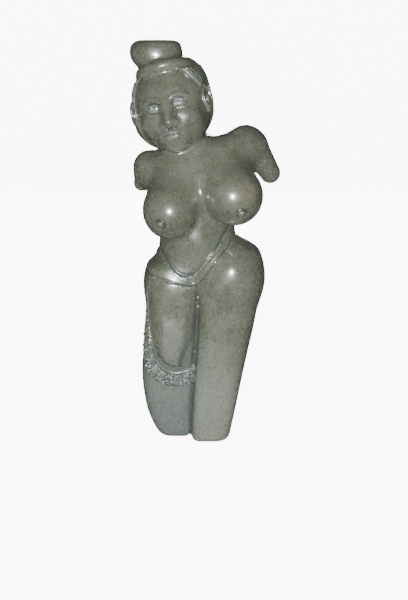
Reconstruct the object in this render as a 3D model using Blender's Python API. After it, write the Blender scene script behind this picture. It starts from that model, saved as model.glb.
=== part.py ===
"""A carved and polished stone figure of a woman, standing on the flat-cut ends of her legs.

The figure is one piece of stone, so it is one object. It is laid out as simple masses (balls, limbs and
columns), which are remeshed into one skin. The skin is then drawn onto the blended form of those masses,
with the belt, apron and hair raised on it.

The pose and proportions are shares of the figure's own height: every length in the tables below is in
hundredths of it. +X is the figure's left, -Y its front and +Z up.
"""

import math

import bmesh
import bpy
import numpy as np

FIGURE_HEIGHT = 0.320
SKIN_VOXEL = 0.0015
TRIANGLES = 9800

HUNDREDTH = FIGURE_HEIGHT / 100
STONE_COLOUR = (0.205, 0.215, 0.165, 1.0)
STONE_ROUGHNESS = 0.28

# The head's own frame: its centre in the figure, and how far it is rolled, turned and tipped back.
HEAD_CENTRE = (-7.6, 0.3, 84.0)
HEAD_ROLL = -14.0
HEAD_TURN = -8.0
HEAD_TIP = -5.0

# Heights of the raised work above the skin around it.
BELT_RAISED = 0.60
BELT_LINE = 0.22
APRON_BULGE = (0.4, 1.9)
APRON_HOLLOW = 0.30
FRINGE_RAISED = 0.55
HAIR_RAISED = 0.75

# Widths of the soft corners where whole forms meet, and how near the floor counts as the flat base.
NECK_BLEND = 0.9
BASE_BLEND = 1.6
BASE_SNAP = 0.03

# A distance no point of the figure reaches, the least divisor used, and the longest step of a settling point.
FAR_OFF = 50.0
LEAST = 1e-6
LONGEST_STEP = 1.2


def turn_about(axis, degrees):
    """Rotation matrix about X, Y or Z, right-handed."""
    c, s = math.cos(math.radians(degrees)), math.sin(math.radians(degrees))
    rows = {
        "X": [[1, 0, 0], [0, c, -s], [0, s, c]],
        "Y": [[c, 0, s], [0, 1, 0], [-s, 0, c]],
        "Z": [[c, -s, 0], [s, c, 0], [0, 0, 1]],
    }
    return np.array(rows[axis], float)


HEAD_AXES = turn_about("Y", HEAD_ROLL) @ turn_about("Z", HEAD_TURN) @ turn_about("X", HEAD_TIP)


def from_head(point):
    """A point of the head's frame, in the figure's frame."""
    return np.array(HEAD_CENTRE) + HEAD_AXES @ np.array(point, float)


def smooth_through(x, knots, values):
    """A smooth curve through the values at the knots, level beyond its two ends."""
    knots, values = np.array(knots, float), np.array(values, float)
    slopes = np.gradient(values, knots)
    x = np.clip(x, knots[0], knots[-1])
    i = np.clip(np.searchsorted(knots, x) - 1, 0, len(knots) - 2)
    gap = knots[i + 1] - knots[i]
    t = (x - knots[i]) / gap
    return (
        (2 * t**3 - 3 * t**2 + 1) * values[i]
        + (t**3 - 2 * t**2 + t) * gap * slopes[i]
        + (3 * t**2 - 2 * t**3) * values[i + 1]
        + (t**3 - t**2) * gap * slopes[i + 1]
    )


def rise(x, start, end):
    """Climbs smoothly from 0 at start to 1 at end."""
    t = np.clip((x - start) / (end - start), 0, 1)
    return t * t * (3 - 2 * t)


def union(a, b, blend):
    """The nearer of two distances, with the corner between them filled over the blend's width."""
    h = np.clip(1 - np.abs(a - b) / blend, 0, 1)
    return np.minimum(a, b) - h * h * blend / 4


def cut(a, b, blend):
    """What is left of a once b is taken away."""
    return -union(-a, b, blend)


class Ball:
    """An ellipsoid, leaning about the Y axis unless axes are given."""

    def __init__(self, centre, radii, blend, lean=0.0, axes=None):
        self.centre = np.array(centre, float)
        self.radii = np.array(radii, float)
        self.blend = blend
        self.axes = turn_about("Y", -lean) if axes is None else axes

    def distance(self, points):
        local = (points - self.centre) @ self.axes
        near = np.linalg.norm(local / self.radii, axis=1)
        slope = np.linalg.norm(local / self.radii**2, axis=1)
        return near * (near - 1) / np.maximum(slope, LEAST)

    def blank(self, mesh):
        made = bmesh.ops.create_uvsphere(mesh, u_segments=32, v_segments=20, radius=1.0)["verts"]
        for vert in made:
            vert.co = self.centre + self.axes @ (np.array(vert.co) * self.radii)


class Limb:
    """Two round ends and the cone between them."""

    def __init__(self, start, end, radii, blend):
        self.start, self.end = np.array(start, float), np.array(end, float)
        self.radii = radii
        self.blend = blend

    def distance(self, points):
        run = self.end - self.start
        t = np.clip((points - self.start) @ run / (run @ run), 0, 1)
        nearest = self.start + t[:, None] * run
        radius = self.radii[0] + t * (self.radii[1] - self.radii[0])
        return np.linalg.norm(points - nearest, axis=1) - radius

    def blank(self, mesh):
        made = []
        for centre, radius in zip((self.start, self.end), self.radii):
            ball = bmesh.ops.create_uvsphere(mesh, u_segments=24, v_segments=16, radius=radius)["verts"]
            for vert in ball:
                vert.co = centre + np.array(vert.co)
            made += ball
        hull = bmesh.ops.convex_hull(mesh, input=made)
        inner = {g for g in hull["geom_interior"] if isinstance(g, bmesh.types.BMVert)}
        bmesh.ops.delete(mesh, geom=list(inner), context="VERTS")


class Ring:
    """A round ring lying in the XY plane of its axes, squeezed front to back."""

    def __init__(self, centre, half_width, half_depth, thickness, blend, axes):
        self.centre = np.array(centre, float)
        self.half_width = half_width
        self.squeeze = half_width / half_depth
        self.thickness = thickness
        self.blend = blend
        self.axes = axes

    def distance(self, points):
        local = (points - self.centre) @ self.axes
        out = np.hypot(local[:, 0], local[:, 1] * self.squeeze) - self.half_width
        return np.hypot(out, local[:, 2]) - self.thickness

    def blank(self, mesh):
        loops = []
        for turn in np.linspace(0, 2 * math.pi, 48, endpoint=False):
            loop = []
            for lean in np.linspace(0, 2 * math.pi, 16, endpoint=False):
                out = self.half_width + self.thickness * math.cos(lean)
                x = out * math.cos(turn)
                y = out * math.sin(turn) / self.squeeze
                z = self.thickness * math.sin(lean)
                loop.append(mesh.verts.new(self.centre + self.axes @ np.array((x, y, z))))
            loops.append(loop)
        for here, there in zip(loops, loops[1:] + loops[:1]):
            for i in range(len(here)):
                j = (i + 1) % len(here)
                mesh.faces.new((here[i], there[i], there[j], here[j]))


class Column:
    """An upright loft: at each height a centre, a half width and a half depth.

    Its squareness is given for the side towards -X and for the side towards +X: 2 is round.
    """

    def __init__(self, sections, blend, squareness, edge):
        self.heights = [s[0] for s in sections]
        self.sections = [[s[i] for s in sections] for i in range(1, 5)]
        self.blend = blend
        self.squareness = squareness
        self.edge = edge

    def section(self, z):
        return [smooth_through(z, self.heights, values) for values in self.sections]

    def distance(self, points):
        x, y, a, b = self.section(points[:, 2])
        n = np.where(points[:, 0] < x, self.squareness[0], self.squareness[1])
        u = np.abs((points[:, 0] - x) / a)
        v = np.abs((points[:, 1] - y) / b)
        near = np.maximum((u**n + v**n) ** (1 / n), LEAST)
        slope = np.hypot(u ** (n - 1) / a, v ** (n - 1) / b) * near ** (1 - n)
        side = (near - 1) / np.maximum(slope, LEAST)
        ends = np.maximum(points[:, 2] - self.heights[-1], self.heights[0] - points[:, 2])
        return -union(-side, -ends, self.edge)

    def blank(self, mesh):
        rings = []
        angles = np.linspace(0, 2 * math.pi, 40, endpoint=False)
        for z in np.linspace(self.heights[0], self.heights[-1], 24):
            x, y, a, b = (value[0] for value in self.section(np.array([z])))
            c, s = np.cos(angles), np.sin(angles)
            power = 2 / np.where(c < 0, self.squareness[0], self.squareness[1])
            ring = zip(x + a * np.sign(c) * np.abs(c) ** power, y + b * np.sign(s) * np.abs(s) ** power)
            rings.append([mesh.verts.new((px, py, z)) for px, py in ring])
        for low, high in zip(rings, rings[1:]):
            for i in range(len(angles)):
                j = (i + 1) % len(angles)
                mesh.faces.new((low[i], low[j], high[j], high[i]))
        mesh.faces.new(rings[0][::-1])
        mesh.faces.new(rings[-1])


# Heights, centres and half sizes of the two legs, which touch along the groove between them.
RIGHT_LEG = Column(
    [
        (-3.0, -7.2, 0.6, 3.6, 4.8),
        (0.0, -7.5, 0.6, 4.0, 5.2),
        (2.2, -8.1, 0.5, 4.7, 5.7),
        (6.5, -8.9, 0.4, 5.7, 6.3),
        (11.0, -9.22, 0.2, 6.28, 6.8),
        (17.5, -9.25, 0.0, 6.75, 7.2),
        (24.0, -8.78, 0.0, 6.82, 7.5),
        (34.7, -8.15, 0.2, 6.65, 7.8),
        (41.0, -7.9, 0.4, 6.6, 7.9),
        (46.0, -7.45, 0.4, 6.15, 7.2),
    ],
    blend=0.5,
    squareness=(3.0, 6.0),
    edge=2.0,
)
LEFT_LEG = Column(
    [
        (-3.0, 1.1, -2.2, 5.1, 5.8),
        (0.0, 1.35, -2.2, 5.25, 6.2),
        (6.5, 2.15, -2.1, 5.75, 6.7),
        (15.3, 3.3, -1.6, 6.3, 7.3),
        (24.0, 4.55, -1.0, 6.85, 8.0),
        (32.6, 5.6, -0.5, 7.6, 8.4),
        (41.0, 6.6, 0.1, 7.6, 9.2),
        (48.0, 6.4, 0.8, 6.4, 5.0),
    ],
    blend=0.5,
    squareness=(3.6, 3.0),
    edge=2.0,
)
# Where the groove between the legs runs, by height.
GROOVE_HEIGHTS = (0, 5, 12, 22, 28, 42)
GROOVE_X = (-3.6, -3.4, -3.0, -2.2, -1.8, -1.6)

BODY = [
    LEFT_LEG,
    Ball((7.4, 0.0, 42.8), (7.8, 9.7, 8.8), 1.5),
    Ball((-7.4, 0.6, 39.4), (7.2, 8.1, 8.6), 2.0),
    Ball((6.4, 5.4, 41.5), (7.2, 6.6, 8.2), 2.5),
    Ball((-6.4, 5.4, 38.5), (7.0, 6.4, 8.2), 2.5),
    Ball((-1.7, -0.3, 46.5), (9.4, 7.1, 9.5), 3.0),
    Ball((-2.5, -0.1, 54.6), (7.5, 7.6, 10.4), 3.5),
    Ball((-0.6, 0.7, 63.5), (11.0, 7.5, 10.0), 4.0, lean=12),
    Ball((-1.2, 1.4, 69.0), (12.4, 6.2, 7.4), 4.0, lean=15),
    Ball((5.6, 5.0, 69.0), (4.6, 3.0, 6.4), 3.5, lean=-8),
    Ball((-7.6, 5.0, 65.6), (4.4, 3.0, 6.2), 3.5, lean=10),
    Ball((10.2, 1.8, 74.8), (4.9, 4.9, 5.1), 3.0),
    Ball((-13.0, 1.8, 68.9), (4.4, 4.4, 4.3), 3.0),
    Limb((-3.6, 1.4, 70.5), (-6.4, 1.0, 80.0), (5.2, 4.9), 3.0),
]
ARMS = [
    Limb((12.4, 1.9, 74.4), (16.5, 2.4, 67.9), (3.5, 2.6), 1.6),
    Limb((-13.6, 2.0, 68.9), (-15.6, 3.6, 65.3), (3.9, 2.1), 1.4),
]
# Each breast is a ball, and the slope of the chest that runs down into it.
BREASTS = [
    (
        Ball((7.3, -6.2, 63.0), (7.0, 7.0, 6.9), 4.0),
        Limb((4.8, -1.2, 72.5), (6.4, -4.4, 65.2), (3.6, 5.4), 4.0),
    ),
    (
        Ball((-8.2, -6.2, 59.4), (6.6, 6.9, 6.7), 4.0),
        Limb((-7.0, -1.4, 68.5), (-7.7, -4.4, 61.6), (3.6, 5.2), 4.0),
    ),
]
# The corner round a breast is tight below and wide above, changing between these heights from its centre.
CREASE_BLEND = 0.9
SLOPE_BLEND = 4.5
SLOPE_HEIGHTS = (-2.0, 6.0)
NIPPLES = [
    Ball((9.0, -12.1, 59.8), (1.05, 0.8, 1.05), 0.4),
    Ball((-10.45, -12.1, 57.2), (1.05, 0.8, 1.05), 0.4),
]


def head_ball(centre, radii, blend):
    return Ball(from_head(centre), radii, blend, axes=HEAD_AXES)


def head_limb(start, end, radii, blend):
    return Limb(from_head(start), from_head(end), radii, blend)


HEAD = [
    head_ball((0, 1.0, 1.6), (9.2, 9.6, 9.7), 2.0),
    head_ball((0, -1.6, -4.2), (7.5, 7.1, 6.4), 3.0),
    head_ball((0.8, 1.5, 5.0), (8.1, 8.4, 7.4), 1.0),
    head_ball((-0.5, 0.7, -1.5), (9.3, 6.0, 7.6), 1.0),
    head_ball((0, -6.7, -8.7), (2.6, 1.8, 1.9), 2.4),
    head_ball((0, -6.8, -6.4), (3.3, 2.3, 2.2), 1.8),
]
SOCKETS = [head_ball((side * 3.2, -9.7, 0.3), (2.3, 1.7, 1.5), 1.2) for side in (-1, 1)]
FEATURES = [
    head_limb((0, -8.1, 1.2), (0, -9.6, -3.4), (0.95, 1.25), 1.5),
    head_limb((-1.4, -8.85, -6.15), (-0.35, -9.1, -5.95), (0.40, 0.46), 0.7),
    head_limb((1.4, -8.85, -6.15), (0.35, -9.1, -5.95), (0.40, 0.46), 0.7),
    head_limb((-1.0, -8.75, -7.05), (1.0, -8.75, -7.05), (0.60, 0.60), 0.8),
]
for side in (-1, 1):
    FEATURES += [
        head_ball((side * 1.2, -8.7, -3.8), (0.95, 1.0, 0.80), 1.0),
        head_ball((side * 3.1, -6.85, 0.3), (1.85, 1.5, 1.35), 0.3),
        head_ball((side * 4.4, -5.0, -3.0), (2.7, 2.5, 2.4), 2.0),
    ]
EARS = [head_ball((side * 8.6, -1.0, 0.4), (1.6, 2.6, 3.5), 0.6) for side in (-1, 1)]
EAR_HOLLOWS = [head_ball((side * 10.2, -1.3, 0.6), (1.1, 1.4, 2.3), 0.6) for side in (-1, 1)]
HAIR_ROLL = Ring(from_head((0.2, 0.6, 9.0)), 5.8, 6.3, 1.5, 1.2, HEAD_AXES @ turn_about("X", -7))
BUN = Column(
    [
        (92.0, -10.4, 2.2, 5.0, 5.0),
        (93.7, -10.7, 2.2, 5.6, 5.6),
        (95.0, -11.2, 2.2, 6.2, 6.2),
        (96.4, -11.5, 2.2, 6.45, 6.4),
        (98.2, -11.6, 2.2, 6.3, 6.2),
        (100.0, -11.4, 2.2, 5.8, 5.7),
    ],
    blend=0.35,
    squareness=(2.2, 2.2),
    edge=2.0,
)

# The hair's lower edge in front, as a height in the head's frame by angle round the head, and its
# front edge down the two sides, as an angle by height. Minus angles are towards the figure's right.
HAIRLINE_ANGLES = (-75, -50, -28, -5, 11, 27, 45, 75)
HAIRLINE = (7.4, 8.0, 8.3, 8.6, 8.5, 8.2, 7.8, 6.8)
RIGHT_SIDE_HEIGHTS = (-8.0, -6.0, -4.7, -2.6, 0.0, 2.5, 4.7, 6.8, 8.2)
RIGHT_SIDE_ANGLES = (75, 62, 54, 50, 54, 59, 57, 57, 52)
LEFT_SIDE_HEIGHTS = (-8.0, -5.0, -3.5, -2.4, -1.5, 0.0, 2.0, 3.5, 4.5, 6.0, 8.2)
LEFT_SIDE_ANGLES = (110, 100, 92, 82, 72, 66, 63, 58, 52, 45, 37)
SIDE_DEGREE = 0.145
HAIR_AXIS_Y = 1.0
HAIR_STEP = (-0.3, 0.35)
EAR_CLEARANCE = (-0.1, 1.0)
HAIR_ENDS = (-11.0, -6.0)
NECK_HEIGHT = 70.0

# The belt's two edges, by angle round the hips from the front.
BELT_AXIS = (-0.5, 0.5)
HIP_DEGREE = 0.16
BELT_TOP_STEP = (-0.4, 0.3)
BELT_LOW_STEP = (-9.0, 0.5)
BELT_LINE_WIDTH = 0.55
BELT_LOW_ANGLES = (-180, -135, -90, -65, -48, -41, -32, -19, -9, 2, 16, 29, 44, 63, 90, 135, 180)
BELT_LOW = (
    46.8, 45.4, 44.4, 43.8, 42.7, 42.1, 41.6, 41.3, 41.5,
    42.8, 45.6, 48.3, 50.3, 52.5, 52.6, 49.4, 46.8,
)
BELT_TOP_ANGLES = (-180, -135, -90, -60, -50, -44, -38, -27, -18, -3, 13, 27, 37, 51, 68, 90, 135, 180)
BELT_TOP = (
    50.4, 49.8, 49.6, 47.9, 46.3, 45.2, 44.3, 43.5, 43.9,
    46.0, 48.4, 50.6, 52.4, 54.2, 55.4, 55.7, 53.0, 50.4,
)

# The apron's middle line and half width on the right thigh, by height, and the fringe along its edge.
APRON_HEIGHTS = (24.2, 30.0, 35.0, 38.0)
APRON_MIDDLE = (-7.0, -6.7, -6.85, -6.9)
APRON_HALF_WIDTH = (5.8, 6.9, 7.05, 7.0)
APRON_STEPS = 12

# The apron swells downwards and stops short of its own outline, which leaves a hollow below and
# beside the swell. Each pair of heights is where that hollow, or the swell, is full and where it ends.
BULGE_HEIGHTS = (20.0, 44.0)
BULGE_EDGE = (-0.2, 1.8)
EDGE_MARGIN = 0.2
LOW_HOLLOW_WIDTH = 1.5
LOW_HOLLOW_HEIGHTS = (20.0, 28.0)
RIGHT_HOLLOW_WIDTH = 3.2
RIGHT_HOLLOW_HEIGHTS = (21.0, 31.0)
FRINGE_EDGE = 0.3
FRINGE_HEIGHTS = (14, 18, 22, 26, 32, 37, 40)
FRINGE_WIDTH = (3.3, 3.2, 2.7, 2.0, 1.0, 0.5, 0.3)


def hair(points):
    """How far the hair stands out from the head."""
    local = (points - np.array(HEAD_CENTRE)) @ HEAD_AXES
    angle = np.degrees(np.arctan2(local[:, 0], HAIR_AXIS_Y - local[:, 1]))
    height = local[:, 2]
    over_line = height - smooth_through(angle, HAIRLINE_ANGLES, HAIRLINE)
    right_side = smooth_through(height, RIGHT_SIDE_HEIGHTS, RIGHT_SIDE_ANGLES)
    left_side = smooth_through(height, LEFT_SIDE_HEIGHTS, LEFT_SIDE_ANGLES)
    round_side = np.maximum(angle - left_side, -right_side - angle)
    inside = np.maximum(over_line, round_side * SIDE_DEGREE)
    off_ears = np.min([ear.distance(points) for ear in EARS], axis=0)
    clear = rise(off_ears, *EAR_CLEARANCE)
    return HAIR_RAISED * rise(inside, *HAIR_STEP) * clear * rise(height, *HAIR_ENDS)


def belt_edges(points):
    """How far each point is above the belt's two edges, measured square to them."""
    angle = np.degrees(np.arctan2(points[:, 0] - BELT_AXIS[0], BELT_AXIS[1] - points[:, 1]))
    heights = []
    for angles, values in ((BELT_LOW_ANGLES, BELT_LOW), (BELT_TOP_ANGLES, BELT_TOP)):
        here = smooth_through(angle, angles, values)
        steepness = (smooth_through(angle + 1, angles, values) - here) / HIP_DEGREE
        heights.append((points[:, 2] - here) / np.hypot(1, steepness))
    return heights


def belt(points):
    """How far the belt stands out: a step at the waist, a cut line below, and a slow fade into the thighs."""
    over_low, over_top = belt_edges(points)
    raised = BELT_RAISED * (1 - rise(over_top, *BELT_TOP_STEP)) * rise(over_low, *BELT_LOW_STEP)
    return raised - BELT_LINE * np.exp(-((over_low / BELT_LINE_WIDTH) ** 2))


def groove_at(z):
    """Where the groove between the legs runs, across, at each height."""
    return smooth_through(z, GROOVE_HEIGHTS, GROOVE_X)


def apron(points):
    """How far the apron on the right thigh, and the fringe round its edge, stand out."""
    x, y, z = points.T
    inside = np.full(len(points), -np.inf)
    for height in np.linspace(APRON_HEIGHTS[0], APRON_HEIGHTS[-1], APRON_STEPS):
        middle = smooth_through(height, APRON_HEIGHTS, APRON_MIDDLE)
        half = smooth_through(height, APRON_HEIGHTS, APRON_HALF_WIDTH)
        inside = np.maximum(inside, half - np.hypot(x - middle, z - height))
    low_margin = EDGE_MARGIN + LOW_HOLLOW_WIDTH * (1 - rise(z, *LOW_HOLLOW_HEIGHTS))
    right_margin = RIGHT_HOLLOW_WIDTH * (1 - rise(z, *RIGHT_HOLLOW_HEIGHTS))
    from_hollow = np.minimum(inside - low_margin, groove_at(z) - x - right_margin)
    height = APRON_BULGE[0] + (APRON_BULGE[1] - APRON_BULGE[0]) * (1 - rise(z, *BULGE_HEIGHTS))
    bulge = (height + APRON_HOLLOW) * rise(from_hollow, *BULGE_EDGE)
    bulge -= APRON_HOLLOW * rise(inside, 0, 0.4)
    width = smooth_through(z, FRINGE_HEIGHTS, FRINGE_WIDTH)
    fringe = FRINGE_RAISED * rise(-inside, 0.0, 0.5)
    fringe *= 1 - rise(-inside, width - FRINGE_EDGE, width + FRINGE_EDGE)
    over_low, _ = belt_edges(points)
    on_thigh = rise(-y, 0.5, 2.0) * rise(groove_at(z) - x, -0.1, 0.5) * (1 - rise(over_low, -0.4, 0.1))
    return (bulge + fringe) * on_thigh


def body_shape(points):
    """Distance from the trunk, legs and arms, with the belt and apron raised before the breasts join."""
    body = RIGHT_LEG.distance(points)
    for mass in BODY + ARMS:
        body = union(body, mass.distance(points), mass.blend)
    body = body - belt(points) - apron(points)
    for ball, slope in BREASTS:
        breast = union(ball.distance(points), slope.distance(points), slope.blend)
        height = rise(points[:, 2] - ball.centre[2], *SLOPE_HEIGHTS)
        body = union(body, breast, CREASE_BLEND + (SLOPE_BLEND - CREASE_BLEND) * height)
    for nipple in NIPPLES:
        body = union(body, nipple.distance(points), nipple.blend)
    return body


def head_shape(points):
    """Distance from the head, with its face, raised hair, ears, roll and bun."""
    head = HEAD[0].distance(points)
    for mass in HEAD[1:]:
        head = union(head, mass.distance(points), mass.blend)
    for hollow in SOCKETS:
        head = cut(head, hollow.distance(points), hollow.blend)
    for mass in FEATURES:
        head = union(head, mass.distance(points), mass.blend)
    head = head - hair(points)
    for mass in EARS:
        head = union(head, mass.distance(points), mass.blend)
    for hollow in EAR_HOLLOWS:
        head = cut(head, hollow.distance(points), hollow.blend)
    head = union(head, HAIR_ROLL.distance(points), HAIR_ROLL.blend)
    return union(head, BUN.distance(points), BUN.blend)


def figure(points):
    """Distance from the figure's skin, less than zero inside, for points in hundredths."""
    skin = np.full(len(points), FAR_OFF)
    low = points[:, 2] < HEAD_CENTRE[2]
    skin[low] = body_shape(points[low])
    high = points[:, 2] > NECK_HEIGHT
    skin[high] = union(skin[high], head_shape(points[high]), NECK_BLEND)
    return -union(-skin, points[:, 2], BASE_BLEND)


def slope_and_distance(points, step=0.05):
    """The figure's distance at each point and its slope."""
    here = figure(points)
    slopes = [(figure(points + shift) - here) / step for shift in np.eye(3) * step]
    return np.stack(slopes, axis=1), here


def neighbours_mean(points, edges):
    """The mean of each point's neighbours."""
    total, count = np.zeros_like(points), np.zeros(len(points))
    for here, there in ((edges[:, 0], edges[:, 1]), (edges[:, 1], edges[:, 0])):
        for axis in range(3):
            total[:, axis] += np.bincount(here, points[there, axis], len(points))
        count += np.bincount(here, minlength=len(points))
    return total / count[:, None]


def settle(points, edges, rounds=4):
    """Draws the points onto the figure's skin, spreading them evenly as they go."""
    for remaining in range(rounds, 0, -1):
        if remaining > 1:
            points = points + 0.5 * (neighbours_mean(points, edges) - points)
        for _ in range(2 if remaining > 1 else 4):
            slope, distance = slope_and_distance(points)
            off = distance / np.maximum((slope**2).sum(axis=1), 0.1)
            points = points - np.clip(off, -LONGEST_STEP, LONGEST_STEP)[:, None] * slope
    return points


def blank_mesh():
    """All the masses as overlapping closed shapes in one mesh, in metres."""
    masses = bmesh.new()
    for mass in [RIGHT_LEG] + BODY + ARMS + NIPPLES + HEAD + FEATURES + EARS + [HAIR_ROLL, BUN]:
        mass.blank(masses)
    for ball, slope in BREASTS:
        ball.blank(masses)
        slope.blank(masses)
    bmesh.ops.recalc_face_normals(masses, faces=masses.faces)
    bmesh.ops.scale(masses, vec=(HUNDREDTH,) * 3, verts=masses.verts)
    mesh = bpy.data.meshes.new("figure_masses")
    masses.to_mesh(mesh)
    masses.free()
    return mesh


def remeshed(mesh, voxel):
    """The mesh as one skin, from a Remesh modifier."""
    guide = bpy.data.objects.new("guide", mesh)
    bpy.context.scene.collection.objects.link(guide)
    skin = guide.modifiers.new("skin", "REMESH")
    skin.mode = "VOXEL"
    skin.voxel_size = voxel
    evaluated = guide.evaluated_get(bpy.context.evaluated_depsgraph_get())
    result = bpy.data.meshes.new_from_object(evaluated)
    bpy.data.objects.remove(guide)
    return result


def points_of(mesh):
    points = np.empty(len(mesh.vertices) * 3, np.float32)
    mesh.vertices.foreach_get("co", points)
    return points.reshape(-1, 3).astype(float)


def carve():
    mesh = remeshed(blank_mesh(), SKIN_VOXEL)
    edges = np.empty(len(mesh.edges) * 2, np.int32)
    mesh.edges.foreach_get("vertices", edges)
    points = settle(points_of(mesh) / HUNDREDTH, edges.reshape(-1, 2))
    points[:, 2] = np.where(points[:, 2] < BASE_SNAP, 0.0, points[:, 2])
    middle = (points.min(axis=0) + points.max(axis=0)) / 2
    points[:, :2] -= middle[:2]
    mesh.vertices.foreach_set("co", (points * HUNDREDTH).astype(np.float32).ravel())
    mesh.update()
    return mesh


def stone():
    material = bpy.data.materials.new("polished_stone")
    material.use_nodes = True
    shader = material.node_tree.nodes["Principled BSDF"]
    shader.inputs["Base Color"].default_value = STONE_COLOUR
    shader.inputs["Roughness"].default_value = STONE_ROUGHNESS
    return material


def main():
    for obj in list(bpy.data.objects):
        bpy.data.objects.remove(obj)
    mesh = carve()
    mesh.name = "stone_woman"
    figure_object = bpy.data.objects.new("stone_woman", mesh)
    bpy.context.scene.collection.objects.link(figure_object)
    mesh.materials.append(stone())
    mesh.shade_smooth()
    fewer = figure_object.modifiers.new("fewer_faces", "DECIMATE")
    fewer.ratio = min(1.0, TRIANGLES / (2 * len(mesh.polygons)))
    return figure_object


main()
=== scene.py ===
"""The looks of a carved and polished stone figure of a woman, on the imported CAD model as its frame.

The CAD node is replaced by one fine carving of the same form. Its masses follow the part's source, in
hundredths of the figure's height. The carving is drawn onto them, refined where the detail is fine, and
then given its relief: hair, face, nipples, belt, apron and tooled fringe.
"""

import math

import bmesh
import bpy
import numpy as np
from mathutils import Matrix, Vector, noise


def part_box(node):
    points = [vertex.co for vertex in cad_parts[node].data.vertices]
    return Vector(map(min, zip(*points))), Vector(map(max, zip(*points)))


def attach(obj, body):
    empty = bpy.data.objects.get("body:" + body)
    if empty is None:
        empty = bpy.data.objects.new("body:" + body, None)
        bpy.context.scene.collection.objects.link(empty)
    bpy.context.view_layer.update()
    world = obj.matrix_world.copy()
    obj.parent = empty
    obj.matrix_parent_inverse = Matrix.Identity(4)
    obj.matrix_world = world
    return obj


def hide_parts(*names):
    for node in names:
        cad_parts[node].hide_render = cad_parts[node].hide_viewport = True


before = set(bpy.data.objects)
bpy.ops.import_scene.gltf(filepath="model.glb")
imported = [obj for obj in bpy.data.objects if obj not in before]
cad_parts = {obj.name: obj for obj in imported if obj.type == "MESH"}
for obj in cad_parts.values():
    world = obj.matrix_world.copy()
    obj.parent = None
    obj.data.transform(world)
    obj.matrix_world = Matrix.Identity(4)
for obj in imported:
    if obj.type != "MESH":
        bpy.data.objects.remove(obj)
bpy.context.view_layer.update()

NODE = "stone_woman"
LOW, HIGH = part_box(NODE)
HUNDREDTH = (HIGH[2] - LOW[2]) / 100

SKIN_VOXEL = 0.0018

# The camera in the figure's own frame: how far from it, how high it looks and how far down.
CAMERA_DISTANCE = 0.80
CAMERA_AIM_HEIGHT = 0.1144
CAMERA_PITCH = 14.0
CAMERA_LENS = 58.73

# The head's own frame: its centre in the figure, and how far it is rolled, turned and tipped back.
HEAD_CENTRE = (-7.6, 0.3, 84.0)
HEAD_ROLL = -14.0
HEAD_TURN = -8.0
HEAD_TIP = -5.0

# Heights of the raised work above the skin around it.
BELT_RAISED = 0.60
APRON_BULGE = (0.4, 1.9)
APRON_HOLLOW = 0.30
FRINGE_RAISED = 0.45
FRINGE_TOOLED = 0.60
HAIR_RAISED = 0.75

# Widths of the soft corners where whole forms meet, and how near the floor counts as the flat base.
NECK_BLEND = 0.9
BASE_BLEND = 1.6
GROOVE_BLEND = 0.35
BASE_SNAP = 0.05

# The head's masses are asked for above the first height, and its finer skin begins above the second.
NECK_HEIGHT = 70.0
CHIN_HEIGHT = 72.0

# A distance no point reaches, the least divisor used, and the longest step of a settling point.
FAR_OFF = 50.0
LEAST = 1e-6
LONGEST_STEP = 1.2

# The stone's colours.
STONE_DARK = (0.046, 0.053, 0.037, 1)
STONE_LIGHT = (0.067, 0.076, 0.055, 1)
STONE_MOTTLE = (0.080, 0.090, 0.069, 1)
STONE_PALE = (0.118, 0.132, 0.109, 1)
STONE_COOL = (0.074, 0.090, 0.082, 1)
SPECK_DARK = (0.026, 0.030, 0.020, 1)
SPECK_PALE = (0.22, 0.23, 0.18, 1)
PATCH_COLOUR = (0.112, 0.087, 0.048, 1)
UNPOLISHED = (0.21, 0.26, 0.29, 1)
# Painted shade: the dark colour laid into carved hollows, creases and the apron's recess.
PAINTED_HOLLOW_SHADE = (0.024, 0.029, 0.026, 1)

# Its clouds, mottling, grain, specks and crust, as repeats in a metre, and where it grows paler or cooler.
CLOUD_SCALE = 16.0
MOTTLE_SCALE = 120.0
GRAIN_SCALE = 900.0
SPECK_SCALE = 660.0
CRUST_SCALE = 700.0
CLOUD_LIFT = 0.09
PALE_HEIGHTS = (0.02, 0.100)
COOL_ACROSS = (-0.004, -0.014)
PATCH_PLACE = (0.027, -0.032, 0.205)
PATCH_REACH = (0.017, 0.006)
PATCH_WANDER = 0.008

# How much of each colour is laid over the one below it.
MOTTLE_SHARE = 0.40
COOL_SHARE = 0.75
PATCH_SHARE = 0.70
SPECK_DARK_SHARE = 0.48
SPECK_PALE_SHARE = 0.22
# The share of painted shade in the hollows.
PAINTED_HOLLOW_SHADE_SHARE = 0.80

# The polish, its coat, and the fine bumps of the grain and the crust.
POLISH = (0.25, 0.35)
ROUGHER = 0.30
COAT_WEIGHT = 0.75
COAT_ROUGHNESS = 0.15
BUMP_DEPTH = 0.0004
BUMP_STRENGTH = 0.35
GRAIN_BUMP = 0.10
CRUST_BUMP = 1.2

# How brightly the pale floor meets the eye; it sheds no light of its own on the stone.
BACKDROP_GLOW = 9.0
PAPER_WHITE = (0.8, 0.8, 0.8, 1)
PAPER_ROUGHNESS = 0.9

# The floor is a disc that sweeps up into a round wall: its radius, the sweep's radius and the wall's top.
FLOOR_RADIUS = 1.4
SWEEP_RADIUS = 0.8
WALL_TOP = 2.6
SWEEP_START = 0.1
SWEEP_POINTS = 12
FLOOR_SIDES = 96

# The lights, each with its place, width and power, and the flash, placed from the camera.
LIGHT_AIM = (0, 0, 0.14)
FLASH_FROM_CAMERA = (-0.06, 0.0, 0.0)
FLASH_WIDTH = 0.09
FLASH_POWER = 15.5
SOFTBOXES = {
    "left_softbox": ((-1.2, -0.7, 0.7), 0.9, 0.4),
    "right_softbox": ((1.2, -0.6, 0.6), 0.9, 0.6),
    "back_softbox": ((0.0, 1.4, 0.45), 0.5, 12.0),
}
ROOM_STRENGTH = 0.07


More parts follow.
